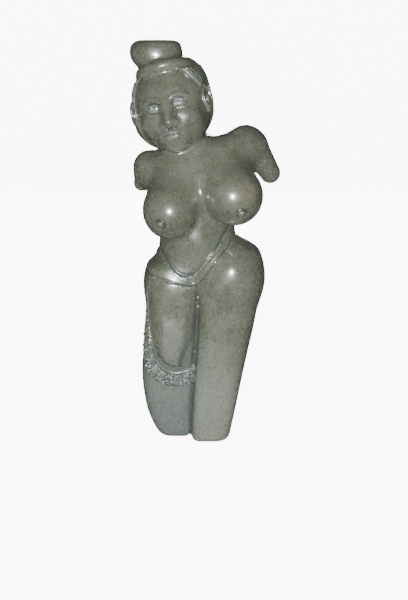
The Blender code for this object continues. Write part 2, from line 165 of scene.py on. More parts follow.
def turn_about(axis, degrees):
    """Rotation matrix about X, Y or Z, right-handed."""
    c, s = math.cos(math.radians(degrees)), math.sin(math.radians(degrees))
    rows = {
        "X": [[1, 0, 0], [0, c, -s], [0, s, c]],
        "Y": [[c, 0, s], [0, 1, 0], [-s, 0, c]],
        "Z": [[c, -s, 0], [s, c, 0], [0, 0, 1]],
    }
    return np.array(rows[axis], float)


HEAD_AXES = turn_about("Y", HEAD_ROLL) @ turn_about("Z", HEAD_TURN) @ turn_about("X", HEAD_TIP)


def from_head(point):
    """A point of the head's frame, in the figure's frame."""
    return np.array(HEAD_CENTRE) + HEAD_AXES @ np.array(point, float)


def smooth_through(x, knots, values):
    """A smooth curve through the values at the knots, level beyond its two ends."""
    knots, values = np.array(knots, float), np.array(values, float)
    slopes = np.gradient(values, knots)
    x = np.clip(x, knots[0], knots[-1])
    i = np.clip(np.searchsorted(knots, x) - 1, 0, len(knots) - 2)
    gap = knots[i + 1] - knots[i]
    t = (x - knots[i]) / gap
    return (
        (2 * t**3 - 3 * t**2 + 1) * values[i]
        + (t**3 - 2 * t**2 + t) * gap * slopes[i]
        + (3 * t**2 - 2 * t**3) * values[i + 1]
        + (t**3 - t**2) * gap * slopes[i + 1]
    )


def rise(x, start, end):
    """Climbs smoothly from 0 at start to 1 at end."""
    t = np.clip((x - start) / (end - start), 0, 1)
    return t * t * (3 - 2 * t)


def ridge(x, width):
    """1 at x = 0, falling off on both sides over the width."""
    return np.exp(-((x / width) ** 2))


def carved(x, line):
    """A carved line at x = 0, given as its height or depth and its width."""
    return line[0] * ridge(x, line[1])


def union(a, b, blend):
    """The nearer of two distances, with the corner between them filled over the blend's width."""
    h = np.clip(1 - np.abs(a - b) / blend, 0, 1)
    return np.minimum(a, b) - h * h * blend / 4


def cut(a, b, blend):
    """What is left of a once b is taken away."""
    return -union(-a, b, blend)


class Ball:
    """An ellipsoid, leaning about the Y axis unless axes are given."""

    def __init__(self, centre, radii, blend, lean=0.0, axes=None):
        self.centre = np.array(centre, float)
        self.radii = np.array(radii, float)
        self.blend = blend
        self.axes = turn_about("Y", -lean) if axes is None else axes

    def distance(self, points):
        local = (points - self.centre) @ self.axes
        near = np.linalg.norm(local / self.radii, axis=1)
        slope = np.linalg.norm(local / self.radii**2, axis=1)
        return near * (near - 1) / np.maximum(slope, LEAST)


class Limb:
    """Two round ends and the cone between them."""

    def __init__(self, start, end, radii, blend):
        self.start, self.end = np.array(start, float), np.array(end, float)
        self.radii = radii
        self.blend = blend

    def distance(self, points):
        run = self.end - self.start
        t = np.clip((points - self.start) @ run / (run @ run), 0, 1)
        nearest = self.start + t[:, None] * run
        radius = self.radii[0] + t * (self.radii[1] - self.radii[0])
        return np.linalg.norm(points - nearest, axis=1) - radius


class Ring:
    """A round ring lying in the XY plane of its axes, squeezed front to back."""

    def __init__(self, centre, half_width, half_depth, thickness, blend, axes):
        self.centre = np.array(centre, float)
        self.half_width = half_width
        self.squeeze = half_width / half_depth
        self.thickness = thickness
        self.blend = blend
        self.axes = axes

    def distance(self, points):
        local = (points - self.centre) @ self.axes
        out = np.hypot(local[:, 0], local[:, 1] * self.squeeze) - self.half_width
        return np.hypot(out, local[:, 2]) - self.thickness


class Column:
    """An upright loft: at each height a centre, a half width and a half depth.

    Its squareness is given for the side towards -X and for the side towards +X: 2 is round.
    """

    def __init__(self, sections, blend, squareness, edge):
        self.heights = [s[0] for s in sections]
        self.sections = [[s[i] for s in sections] for i in range(1, 5)]
        self.blend = blend
        self.squareness = squareness
        self.edge = edge

    def distance(self, points):
        x, y, a, b = [smooth_through(points[:, 2], self.heights, values) for values in self.sections]
        n = np.where(points[:, 0] < x, self.squareness[0], self.squareness[1])
        u = np.abs((points[:, 0] - x) / a)
        v = np.abs((points[:, 1] - y) / b)
        near = np.maximum((u**n + v**n) ** (1 / n), LEAST)
        slope = np.hypot(u ** (n - 1) / a, v ** (n - 1) / b) * near ** (1 - n)
        side = (near - 1) / np.maximum(slope, LEAST)
        ends = np.maximum(points[:, 2] - self.heights[-1], self.heights[0] - points[:, 2])
        return -union(-side, -ends, self.edge)


# Heights, centres and half sizes of the two legs, which touch along the groove between them.
RIGHT_LEG = Column(
    [
        (-3.0, -7.2, 0.6, 3.6, 4.8),
        (0.0, -7.5, 0.6, 4.0, 5.2),
        (2.2, -8.1, 0.5, 4.7, 5.7),
        (6.5, -8.9, 0.4, 5.7, 6.3),
        (11.0, -9.22, 0.2, 6.28, 6.8),
        (17.5, -9.25, 0.0, 6.75, 7.2),
        (24.0, -8.78, 0.0, 6.82, 7.5),
        (34.7, -8.15, 0.2, 6.65, 7.8),
        (41.0, -7.9, 0.4, 6.6, 7.9),
        (46.0, -7.45, 0.4, 6.15, 7.2),
    ],
    blend=0.5,
    squareness=(3.0, 6.0),
    edge=2.0,
)
LEFT_LEG = Column(
    [
        (-3.0, 1.1, -2.2, 5.1, 5.8),
        (0.0, 1.35, -2.2, 5.25, 6.2),
        (6.5, 2.15, -2.1, 5.75, 6.7),
        (15.3, 3.3, -1.6, 6.3, 7.3),
        (24.0, 4.55, -1.0, 6.85, 8.0),
        (32.6, 5.6, -0.5, 7.6, 8.4),
        (41.0, 6.6, 0.1, 7.6, 8.5),
        (48.0, 6.4, 0.8, 6.4, 5.0),
    ],
    blend=0.5,
    squareness=(3.6, 3.0),
    edge=2.0,
)
# The groove between the legs, by height: a deep wedge that narrows towards its bottom.
GROOVE_HEIGHTS = (0, 5, 12, 22, 28, 42)
GROOVE_X = (-3.6, -3.4, -3.0, -2.2, -1.8, -1.6)
GROOVE_TOP = 41.2
GROOVE_BOTTOM = -3.6
GROOVE_SLOPE = 0.15

# How sharply a hollow curves where painted shade begins and where it is full, and the share of painted shade
# in the apron's recess.
HOLLOW_SHADE_CURVES = (0.10, 0.75)
APRON_SHADE_SHARE = 0.45

BODY = [
    LEFT_LEG,
    Ball((7.4, 0.0, 42.8), (7.8, 9.7, 8.8), 3.0),
    Ball((-7.4, 0.6, 39.4), (7.2, 8.1, 8.6), 2.0),
    Ball((6.4, 5.4, 41.5), (7.2, 6.6, 8.2), 2.5),
    Ball((-6.4, 5.4, 38.5), (7.0, 6.4, 8.2), 2.5),
    Ball((-1.7, -0.3, 48.6), (9.4, 6.8, 10.6), 3.0),
    Ball((-2.5, -0.1, 54.6), (7.5, 7.6, 10.4), 3.5),
    Ball((-0.6, 0.7, 63.5), (11.0, 7.5, 10.0), 4.0, lean=12),
    Ball((-1.2, 1.4, 69.0), (12.4, 6.2, 7.4), 4.0, lean=15),
    Ball((5.6, 5.0, 69.0), (4.6, 3.0, 6.4), 3.5, lean=-8),
    Ball((-7.6, 5.0, 65.6), (4.4, 3.0, 6.2), 3.5, lean=10),
    Ball((10.2, 1.8, 74.8), (4.9, 4.9, 5.1), 3.0),
    Ball((-13.0, 1.8, 68.9), (4.4, 4.4, 4.3), 3.0),
    Limb((-3.6, 1.4, 70.5), (-6.4, 1.0, 80.0), (5.2, 4.9), 3.0),
]
ARMS = [
    Limb((12.4, 1.9, 74.4), (16.5, 2.4, 67.9), (3.5, 2.6), 1.6),
    Limb((-13.6, 2.0, 68.9), (-15.6, 3.6, 65.3), (3.9, 2.1), 1.4),
]
# Each breast is a ball, and the slope of the chest that runs down into it.
BREASTS = [
    (
        Ball((7.3, -6.2, 63.0), (7.0, 7.0, 6.9), 4.0),
        Limb((4.8, -1.2, 72.5), (6.4, -4.4, 65.2), (3.6, 5.4), 4.0),
    ),
    (
        Ball((-8.2, -6.2, 59.4), (6.6, 6.9, 6.7), 4.0),
        Limb((-7.0, -1.4, 68.5), (-7.7, -4.4, 61.6), (3.6, 5.2), 4.0),
    ),
]
# The corner round a breast is tight below and wide above, changing between these heights from its centre.
CREASE_BLEND = 0.9
SLOPE_BLEND = 4.5
SLOPE_HEIGHTS = (-2.0, 6.0)
NIPPLE_WAYS = [(0.247, -0.857, -0.455), (-0.33, -0.887, -0.32)]
NIPPLE_RADIUS = 1.05


def nipple_places():
    """Where each breast's nipple way comes out through its ball."""
    places = []
    for (ball, _), way in zip(BREASTS, NIPPLE_WAYS):
        way = np.array(way)
        places.append(ball.centre + way / np.linalg.norm(way / ball.radii))
    return places


NIPPLES = nipple_places()


def head_ball(centre, radii, blend):
    return Ball(from_head(centre), radii, blend, axes=HEAD_AXES)


def head_limb(start, end, radii, blend):
    return Limb(from_head(start), from_head(end), radii, blend)


# The face is a plain carved face on even proportions: the eyes half way up the head, the brow, the base of
# the nose and the chin a third of the face apart, and one eye's width between the eyes.
EYE_X = 3.1
EYE_Z = 0.3
EYE_HALF_WIDTH = 1.7
MOUTH_Z = -6.5
MOUTH_HALF_WIDTH = 2.1

# Carved lines of the face: how high or deep each is, and how wide.
BROW = (0.32, 0.50)
UPPER_LID = (0.36, 0.19)
LOWER_LID = (0.24, 0.16)
LID_CREASE = (0.20, 0.16)
IRIS_LINE = (0.14, 0.12)
PUPIL = (0.18, 0.18)
MOUTH_LINE = (0.40, 0.16)
MOUTH_CORNER = (0.16, 0.35)
PHILTRUM = (0.10, 0.40)
IRIS_RADIUS = 0.50

HEAD = [
    head_ball((0, 1.0, 1.6), (9.2, 9.6, 9.7), 2.0),
    head_ball((0, -1.6, -4.2), (7.5, 7.1, 6.4), 3.0),
    head_ball((0.8, 1.5, 5.0), (8.1, 8.4, 7.4), 1.0),
    head_ball((-0.5, 0.7, -1.5), (9.3, 6.0, 7.6), 1.0),
    head_ball((0, -6.7, -8.7), (2.6, 1.8, 1.9), 2.4),
    head_ball((0, -6.8, -6.4), (3.3, 2.3, 2.2), 1.8),
]
SOCKETS = [head_ball((side * 3.2, -9.7, 0.3), (2.3, 1.7, 1.5), 1.2) for side in (-1, 1)]
FEATURES = [
    head_limb((0, -8.1, 1.2), (0, -9.6, -3.4), (0.95, 1.25), 1.5),
    head_limb((-1.4, -8.85, -6.15), (-0.35, -9.1, -5.95), (0.40, 0.46), 0.7),
    head_limb((1.4, -8.85, -6.15), (0.35, -9.1, -5.95), (0.40, 0.46), 0.7),
    head_limb((-1.0, -8.75, -7.05), (1.0, -8.75, -7.05), (0.60, 0.60), 0.8),
]
for side in (-1, 1):
    FEATURES += [
        head_ball((side * 1.2, -8.7, -3.8), (0.95, 1.0, 0.80), 1.0),
        head_ball((side * 3.1, -6.85, 0.3), (1.85, 1.5, 1.35), 0.3),
        head_ball((side * 4.4, -5.0, -3.0), (2.7, 2.5, 2.4), 2.0),
    ]
NOSTRILS = [head_ball((side * 0.75, -9.6, -4.9), (0.42, 0.6, 0.45), 0.3) for side in (-1, 1)]
EARS = [head_ball((side * 8.8, -1.4, 0.3), (1.6, 2.3, 3.6), 0.35) for side in (-1, 1)]
EAR_HOLLOWS = [head_ball((side * 9.7, -3.1, 0.8), (0.9, 1.4, 2.4), 0.3) for side in (-1, 1)]
EAR_FOLDS = [head_ball((side * 9.3, -2.2, 0.1), (0.45, 0.8, 1.3), 0.3) for side in (-1, 1)]
HAIR_ROLL = Ring(from_head((0.2, 0.6, 9.0)), 5.8, 6.3, 1.5, 1.2, HEAD_AXES @ turn_about("X", -7))
BUN = Column(
    [
        (92.0, -10.4, 2.2, 5.0, 5.0),
        (93.7, -10.7, 2.2, 5.6, 5.6),
        (95.0, -11.2, 2.2, 6.2, 6.2),
        (96.4, -11.5, 2.2, 6.45, 6.4),
        (98.2, -11.6, 2.2, 6.3, 6.2),
        (100.0, -11.4, 2.2, 5.8, 5.7),
    ],
    blend=0.35,
    squareness=(2.2, 2.2),
    edge=2.0,
)

# The hair's lower edge in front, as a height in the head's frame by angle round the head, and its
# front edge down the two sides, as an angle by height. Minus angles are towards the figure's right.
HAIRLINE_ANGLES = (-75, -50, -28, -5, 11, 27, 45, 75)
HAIRLINE = (7.4, 8.0, 8.3, 8.6, 8.5, 8.2, 7.8, 6.8)
RIGHT_SIDE_HEIGHTS = (-8.0, -6.0, -4.7, -2.6, 0.0, 2.5, 4.7, 6.8, 8.2)
RIGHT_SIDE_ANGLES = (75, 62, 54, 50, 54, 59, 57, 57, 52)
LEFT_SIDE_HEIGHTS = (-8.0, -5.0, -3.5, -2.4, -1.5, 0.0, 2.0, 3.5, 4.5, 6.0, 8.2)
LEFT_SIDE_ANGLES = (110, 100, 92, 82, 72, 66, 63, 58, 52, 45, 37)
SIDE_DEGREE = 0.145
BAND_ENDS = (-66, 40)
LOCK_HEIGHTS = (2.8, 8.3)
LOCK_WIDTH = 19.0
LOCK_RIDGES = 3

# The belt's two edges, by angle round the hips from the front.
BELT_AXIS = (-0.5, 0.5)
HIP_DEGREE = 0.16
BELT_LOW_ANGLES = (-180, -135, -90, -65, -48, -41, -32, -19, -9, 2, 16, 29, 44, 63, 90, 135, 180)
BELT_LOW = (
    46.8, 45.4, 44.4, 43.8, 42.7, 42.1, 41.6, 41.3, 41.5,
    42.8, 45.6, 48.3, 50.3, 52.5, 52.6, 49.4, 46.8,
)
BELT_TOP_ANGLES = (-180, -135, -90, -60, -50, -44, -38, -27, -18, -3, 13, 27, 37, 51, 68, 90, 135, 180)
BELT_TOP = (
    50.4, 49.8, 49.6, 47.9, 46.3, 45.2, 44.3, 43.5, 43.9,
    46.0, 48.4, 50.6, 52.4, 54.2, 55.4, 55.7, 53.0, 50.4,
)

# Lines cut or raised along the belt, each with its depth or height and its width, and where the notch is.
BELT_SHOULDER = (0.14, 0.30)
BELT_CUT = (0.22, 0.16)
BELT_NOTCH_DEPTH = 0.75
BELT_NOTCH_ANGLE = -20
BELT_THIN_RIM = (0.10, 0.16)

# The apron's middle line and half width on the right thigh, by height, and the fringe along its edge.
APRON_HEIGHTS = (24.2, 30.0, 35.0, 38.0)
APRON_MIDDLE = (-7.0, -6.7, -6.85, -6.9)
APRON_HALF_WIDTH = (5.8, 6.9, 7.05, 7.0)
APRON_STEPS = 12

# The apron swells downwards and stops short of its own outline, which leaves a hollow below and
# beside the swell. Each pair of heights is where that hollow, or the swell, is full and where it ends.
BULGE_HEIGHTS = (20.0, 44.0)
BULGE_EDGE = (-0.2, 1.5)
BULGE_SIDE_WIDTH = 2.0
EDGE_MARGIN = 0.2
LOW_HOLLOW_WIDTH = 1.5
LOW_HOLLOW_HEIGHTS = (20.0, 28.0)
RIGHT_HOLLOW_WIDTH = 3.2
RIGHT_HOLLOW_HEIGHTS = (21.0, 31.0)
FRINGE_GRAIN = 0.85
FRINGE_HEIGHTS = (14, 18, 22, 26, 32, 37, 40)
FRINGE_WIDTH = (3.3, 3.2, 2.7, 2.0, 1.0, 0.5, 0.3)


def in_head(points):
    """Points in the head's frame, and their angle round the head from its front."""
    local = (points - np.array(HEAD_CENTRE)) @ HEAD_AXES
    return local, np.degrees(np.arctan2(local[:, 0], 1.0 - local[:, 1]))


def groove_at(z):
    """Where the groove between the legs runs, across, at each height."""
    return smooth_through(z, GROOVE_HEIGHTS, GROOVE_X)


def groove(points):
    """Distance from the wedge-shaped groove between the legs."""
    x, y, z = points.T
    across = np.abs(x - groove_at(z)) + (y - GROOVE_BOTTOM) * GROOVE_SLOPE
    return np.maximum(np.maximum(across, y - GROOVE_BOTTOM), z - GROOVE_TOP)


def figure(points):
    """Distance from the figure's smooth skin, less than zero inside, for points in hundredths."""
    skin = np.full(len(points), FAR_OFF)
    z = points[:, 2]
    low = z < HEAD_CENTRE[2]
    part = points[low]
    body = RIGHT_LEG.distance(part)
    for mass in BODY + ARMS:
        body = union(body, mass.distance(part), mass.blend)
    body = cut(body, groove(part), GROOVE_BLEND)
    for ball, slope in BREASTS:
        breast = union(ball.distance(part), slope.distance(part), slope.blend)
        height = rise(part[:, 2] - ball.centre[2], *SLOPE_HEIGHTS)
        body = union(body, breast, CREASE_BLEND + (SLOPE_BLEND - CREASE_BLEND) * height)
    skin[low] = body
    high = z > NECK_HEIGHT
    skin[high] = union(skin[high], head_shape(points[high]), NECK_BLEND)
    return -union(-skin, z, BASE_BLEND)


def head_shape(points):
    """Distance from the head, with its face, ears, roll and bun."""
    head = HEAD[0].distance(points)
    for mass in HEAD[1:]:
        head = union(head, mass.distance(points), mass.blend)
    for hollow in SOCKETS:
        head = cut(head, hollow.distance(points), hollow.blend)
    for mass in FEATURES:
        head = union(head, mass.distance(points), mass.blend)
    for hollow in NOSTRILS:
        head = cut(head, hollow.distance(points), hollow.blend)
    for mass in EARS:
        head = union(head, mass.distance(points), mass.blend)
    for hollow in EAR_HOLLOWS:
        head = cut(head, hollow.distance(points), hollow.blend)
    for mass in EAR_FOLDS:
        head = union(head, mass.distance(points), mass.blend)
    head = union(head, HAIR_ROLL.distance(points), HAIR_ROLL.blend)
    return union(head, BUN.distance(points), BUN.blend)


def slope_and_distance(points, step=0.05):
    """The figure's distance at each point and its slope."""
    here = figure(points)
    slopes = [(figure(points + shift) - here) / step for shift in np.eye(3) * step]
    return np.stack(slopes, axis=1), here


def hair(points):
    """How far the hair, its front band and its lock stand out, and where they are left rough."""
    local, angle = in_head(points)
    height = local[:, 2]
    over_line = height - smooth_through(angle, HAIRLINE_ANGLES, HAIRLINE)
    right_side = smooth_through(height, RIGHT_SIDE_HEIGHTS, RIGHT_SIDE_ANGLES)
    left_side = smooth_through(height, LEFT_SIDE_HEIGHTS, LEFT_SIDE_ANGLES)
    round_side = np.maximum(angle - left_side, -right_side - angle)
    inside = np.maximum(over_line, round_side * SIDE_DEGREE)
    on_head = rise(height, -11, -6) * (points[:, 2] > NECK_HEIGHT) * rise(BUN.distance(points), 0.0, 0.8)
    clear = np.min([mass.distance(points) for mass in EARS + [HAIR_ROLL]], axis=0)
    relief = HAIR_RAISED * rise(inside, -0.15, 0.25) * rise(clear, -0.1, 0.9)
    in_front = rise(angle, BAND_ENDS[0] - 12, BAND_ENDS[0] + 4)
    in_front = in_front * (1 - rise(angle, BAND_ENDS[1] - 6, BAND_ENDS[1] + 4))
    lock_across = (angle - left_side) / LOCK_WIDTH
    lock = rise(height, LOCK_HEIGHTS[0], LOCK_HEIGHTS[0] + 1.2) * (1 - rise(height, 7.9, LOCK_HEIGHTS[1]))
    lock = lock * rise(lock_across, 0.0, 0.06) * (1 - rise(lock_across, 0.96, 1.02))
    relief += lock * 0.30 * (np.abs(np.sin(math.pi * LOCK_RIDGES * lock_across)) - 0.45)
    edge = ridge(over_line - 0.1, 0.30) * in_front
    chips = np.clip(noise_of(points, edge > 0.05, 0.9) * 2.6 - 1.1, 0, 1)
    relief -= 0.22 * edge * chips
    front_lock = ridge(lock_across - 0.18, 0.16) * lock
    strip = ridge(-right_side - angle - 4, 3.5) * rise(height, -6, -4) * (1 - rise(height, 5.5, 7))
    rough = np.clip(edge * chips + front_lock + 0.3 * strip, 0, 1)
    return relief * on_head, rough * on_head


def face(points):
    """Lids, pupils, lips and philtrum, and the places round them left unpolished."""
    local, _ = in_head(points)
    x, y, z = local.T
    front = rise(-y, 4.5, 6.0) * (points[:, 2] > NECK_HEIGHT)
    across = (np.abs(x) - EYE_X) / EYE_HALF_WIDTH
    almond = np.sqrt(np.clip(1 - across**2, 0, 1))
    top = EYE_Z + 0.10 * across + 0.78 * almond
    low = EYE_Z + 0.10 * across - 0.55 * almond
    near = 1 - rise(np.abs(across), 0.95, 1.15)
    brow = 2.0 + 0.55 * np.cos((np.abs(x) - 3.4) * 0.75)
    relief = carved(z - brow, BROW) * rise(np.abs(x), 0.9, 1.9) * (1 - rise(np.abs(x), 4.9, 6.0))
    relief += carved(z - top - 0.10, UPPER_LID) * near
    relief += carved(z - low + 0.08, LOWER_LID) * near
    relief -= carved(z - top - 0.52, LID_CREASE) * near
    pupil = np.hypot(np.abs(x) - EYE_X, z - EYE_Z - 0.08)
    relief -= carved(pupil - IRIS_RADIUS, IRIS_LINE) + carved(pupil, PUPIL)
    line = MOUTH_Z - 0.10 * np.cos(x * 2.6) + 0.08 * (x / MOUTH_HALF_WIDTH) ** 2
    mouth = 1 - rise(np.abs(x), MOUTH_HALF_WIDTH - 0.4, MOUTH_HALF_WIDTH + 0.1)
    relief -= carved(z - line, MOUTH_LINE) * mouth
    corner = np.hypot(np.abs(x) - MOUTH_HALF_WIDTH, z - line)
    relief -= carved(corner, MOUTH_CORNER)
    relief -= carved(x, PHILTRUM) * rise(z, -5.9, -5.6) * (1 - rise(z, -5.2, -4.9))
    socket = ridge(across, 1.15) * ridge(z - EYE_Z - 0.1, 1.2)
    lips = ridge(x, 2.4) * ridge(z - MOUTH_Z, 0.9)
    wings = ridge(np.abs(x) - 1.9, 0.7) * ridge(z + 4.2, 0.9)
    rough = np.clip(0.45 * socket + 0.25 * lips + 0.35 * wings, 0, 1)
    return relief * front, rough * front


def belt_edges(points):
    """How far each point is above the belt's two edges, square to them, and its angle round the hips."""
    angle = np.degrees(np.arctan2(points[:, 0] - BELT_AXIS[0], BELT_AXIS[1] - points[:, 1]))
    heights = []
    for angles, values in ((BELT_LOW_ANGLES, BELT_LOW), (BELT_TOP_ANGLES, BELT_TOP)):
        here = smooth_through(angle, angles, values)
        steepness = (smooth_through(angle + 1, angles, values) - here) / HIP_DEGREE
        heights.append((points[:, 2] - here) / np.hypot(1, steepness))
    return heights[0], heights[1], angle


def belt(points):
    """How far the belt round the hips stands out, and its unpolished upper rim and notch."""
    over_low, over_top, angle = belt_edges(points)
    soft = rise(np.abs(angle + 5), 55, 80)
    relief = BELT_RAISED * (1 - rise(over_top, -0.22 - soft, 0.16 + soft)) * rise(over_low, -9.0, 0.5)
    relief -= carved(over_top - 0.35, BELT_SHOULDER)
    relief -= carved(over_low, BELT_CUT)
    notch = ridge(angle - BELT_NOTCH_ANGLE, 3.2) * rise(over_low, 0.3, 1.0) * (1 - rise(over_top, 0.3, 0.8))
    relief -= BELT_NOTCH_DEPTH * notch
    on_right = (1 - rise(angle, -24, -18)) * rise(angle, -56, -44)
    width = 0.15 + 0.75 * rise(angle, -48, -34)
    rim = rise(over_top, -width - 0.1, -width + 0.1) * (1 - rise(over_top, 0.1, 0.3))
    thin_rim = ridge(over_top + 0.12, BELT_THIN_RIM[1]) * rise(angle, -12, 5) * (1 - rise(angle, 36, 46))
    relief += BELT_THIN_RIM[0] * thin_rim
    below = ridge(over_low + 0.45, 0.3) * rise(angle, -46, -38) * (1 - rise(angle, -22, -16))
    return relief, np.clip(rim * on_right + 0.45 * thin_rim + 0.8 * below + 0.6 * notch, 0, 1)


def apron_inside(points):
    """How far inside the apron's edge each point is, the fringe's width there, and if it is on the thigh."""
    x, y, z = points.T
    inside = np.full(len(points), -np.inf)
    for height in np.linspace(APRON_HEIGHTS[0], APRON_HEIGHTS[-1], APRON_STEPS):
        middle = smooth_through(height, APRON_HEIGHTS, APRON_MIDDLE)
        half = smooth_through(height, APRON_HEIGHTS, APRON_HALF_WIDTH)
        inside = np.maximum(inside, half - np.hypot(x - middle, z - height))
    on_thigh = rise(-y, 0.5, 2.0) * rise(groove_at(z) - x, -0.1, 0.35)
    return inside, smooth_through(z, FRINGE_HEIGHTS, FRINGE_WIDTH), on_thigh


def tooling(points, which, size):
    """Rounded bumps of the given size over the chosen points."""
    bumps = np.zeros(len(points))
    for i in np.flatnonzero(which):
        nearest, second = noise.voronoi(Vector(points[i] / size))[0][:2]
        bumps[i] = min(second - nearest, 0.6) / 0.6
    return bumps


def noise_of(points, which, size):
    """Smooth noise from 0 to 1 of the given size over the chosen points."""
    values = np.zeros(len(points))
    for i in np.flatnonzero(which):
        values[i] = 0.5 + 0.5 * noise.noise(Vector(points[i] / size))
    return values


def apron(points):
    """How far the apron and its fringe stand out, how rough they are, and where shade is painted into its
    hollow.
    """
    inside, width, on_thigh = apron_inside(points)
    over_low, _, _ = belt_edges(points)
    x, _, z = points.T
    on_thigh = on_thigh * (1 - rise(over_low, -0.3, 0.0))
    low_margin = EDGE_MARGIN + LOW_HOLLOW_WIDTH * (1 - rise(z, *LOW_HOLLOW_HEIGHTS))
    right_margin = RIGHT_HOLLOW_WIDTH * (1 - rise(z, *RIGHT_HOLLOW_HEIGHTS))
    from_hollow = np.minimum(inside - low_margin, groove_at(z) - x - right_margin)
    height = APRON_BULGE[0] + (APRON_BULGE[1] - APRON_BULGE[0]) * (1 - rise(z, *BULGE_HEIGHTS))
    edge_end = BULGE_EDGE[1] + BULGE_SIDE_WIDTH * rise(z, *RIGHT_HOLLOW_HEIGHTS)
    bulge = (height + APRON_HOLLOW) * rise(from_hollow, BULGE_EDGE[0], edge_end)
    bulge -= APRON_HOLLOW * rise(inside, 0, 0.4)
    band = rise(-inside, 0.0, 0.3) * (1 - rise(-inside, width - 0.2, width + 0.2)) * on_thigh
    bumps = tooling(points, band > 0.01, FRINGE_GRAIN)
    deep = rise(width, 0.4, 2.0)
    raised = FRINGE_RAISED * (0.35 + 0.5 * deep) + FRINGE_TOOLED * (0.2 + 0.8 * deep) * (bumps - 0.45)
    crease = 0.25 * ridge(inside, 0.26) * on_thigh
    worn = rise(noise_of(points, band > 0.01, 1.6), 0.25, 0.65)
    # Painted shade in the hollow below and beside the apron's swell.
    shade = rise(inside, 0.0, 0.5) * (1 - rise(from_hollow, 0.0, 1.2))
    shade = shade * (1 - rise(z, *RIGHT_HOLLOW_HEIGHTS))
    return bulge * on_thigh + band * raised - crease, band * bumps * worn, shade * on_thigh


def nipples(points):
    """How far the nipples stand out, each a low dome with a fine line round it."""
    relief = np.zeros(len(points))
    for place in NIPPLES:
        r = np.linalg.norm(points - np.array(place), axis=1) / NIPPLE_RADIUS
        relief += 0.75 * np.sqrt(np.clip(1 - r**2, 0, 1)) - 0.26 * ridge(r - 1.22, 0.20)
    return relief


def relief_and_roughness(points):
    """All the relief over the smooth skin, where the stone is left unpolished, and where shade is painted
    into the apron's hollow.
    """
    hair_relief, hair_rough = hair(points)
    face_relief, face_rough = face(points)
    belt_relief, belt_rough = belt(points)
    apron_relief, apron_rough, painted_apron_shade = apron(points)
    relief = hair_relief + face_relief + belt_relief + apron_relief + nipples(points)
    rough = np.max([0.7 * hair_rough, 0.7 * face_rough, belt_rough, apron_rough], axis=0)
    return relief, rough, painted_apron_shade


def neighbours_mean(points, edges):
    """The mean of each point's neighbours."""
    total, count = np.zeros_like(points), np.zeros(len(points))
    for here, there in ((edges[:, 0], edges[:, 1]), (edges[:, 1], edges[:, 0])):
        for axis in range(3):
            total[:, axis] += np.bincount(here, points[there, axis], len(points))
        count += np.bincount(here, minlength=len(points))
    return total / count[:, None]


def hollow_shade(points, edges, normal):
    """How deep in a carved hollow each point lies, from 0 to 1, by how its neighbours stand above it: the
    mask of painted shade.
    """
    run = np.linalg.norm(points[edges[:, 0]] - points[edges[:, 1]], axis=1)
    total = np.bincount(edges.ravel(), np.repeat(run, 2), len(points))
    spacing = total / np.bincount(edges.ravel(), minlength=len(points))
    above = ((neighbours_mean(points, edges) - points) * normal).sum(axis=1) / spacing**2
    above = neighbours_mean(above[:, None].repeat(3, axis=1), edges)[:, 0]
    return rise(above, *HOLLOW_SHADE_CURVES)


def settle(points, edges, rounds):
    """Draws the points onto the figure's skin, spreading them evenly as they go."""
    for remaining in range(rounds, 0, -1):
        if remaining > 1:
            points = points + 0.5 * (neighbours_mean(points, edges) - points)
        for _ in range(2):
            slope, distance = slope_and_distance(points)
            off = distance / np.maximum((slope**2).sum(axis=1), 0.1)
            points = points - np.clip(off, -LONGEST_STEP, LONGEST_STEP)[:, None] * slope
    return points


def points_of(mesh):
    points = np.empty(len(mesh.vertices) * 3, np.float32)
    mesh.vertices.foreach_get("co", points)
    return points.reshape(-1, 3).astype(float)


def edges_of(mesh):
    edges = np.empty(len(mesh.edges) * 2, np.int32)
    mesh.edges.foreach_get("vertices", edges)
    return edges.reshape(-1, 2)


def set_points(mesh, points):
    mesh.vertices.foreach_set("co", points.astype(np.float32).ravel())
    mesh.update()


def remeshed(mesh, voxel):
    """The mesh as one even skin, from a Remesh modifier."""
    guide = bpy.data.objects.new("guide", mesh)
    bpy.context.scene.collection.objects.link(guide)
    skin = guide.modifiers.new("skin", "REMESH")
    skin.mode = "VOXEL"
    skin.voxel_size = voxel
    evaluated = guide.evaluated_get(bpy.context.evaluated_depsgraph_get())
    result = bpy.data.meshes.new_from_object(evaluated)
    bpy.data.objects.remove(guide)
    return result


def find_origin(points):
    """Where the masses' own origin lies from the CAD model's, in hundredths, from its plain left leg."""
    leg = points[(points[:, 2] > 4) & (points[:, 2] < 28) & (points[:, 0] > 1)]
    origin = np.zeros(3)
    for _ in range(6):
        slope, distance = slope_and_distance(leg - origin)
        origin[:2] += np.linalg.lstsq(slope[:, :2], distance, rcond=None)[0]
    return origin


def refine(mesh, wanted):
    """Cuts in four the faces whose corners are all wanted."""
    cutter = bmesh.new()
    cutter.from_mesh(mesh)
    cutter.verts.ensure_lookup_table()
    edges = set()
    for one in cutter.faces:
        if all(wanted[v.index] for v in one.verts):
            edges.update(one.edges)
    bmesh.ops.subdivide_edges(cutter, edges=list(edges), cuts=1, use_grid_fill=True)
    cutter.to_mesh(mesh)
    cutter.free()


def fine_work(points):
    """Where the relief needs a finer skin than the rest."""
    local, _ = in_head(points)
    head = (points[:, 2] > CHIN_HEIGHT) & (local[:, 2] > -9.5) & (local[:, 2] < 10.0) & (local[:, 1] < 3.5)
    over_low, over_top, _ = belt_edges(points)
    at_belt = (over_low > -1.2) & (over_top < 1.2)
    inside, width, _ = apron_inside(points)
    x, y, z = points.T
    at_apron = (inside < 2.6) & (-inside < width + 1.0) & (x < groove_at(z) + 1.0) & (y < 0)
    at_groove = (np.abs(x - groove_at(z)) < 1.6) & (y < -3.0) & (z < 44)
    at_nipple = np.any([np.linalg.norm(points - np.array(p), axis=1) < 2.4 for p in NIPPLES], axis=0)
    return head | at_belt | at_apron | at_nipple | at_groove


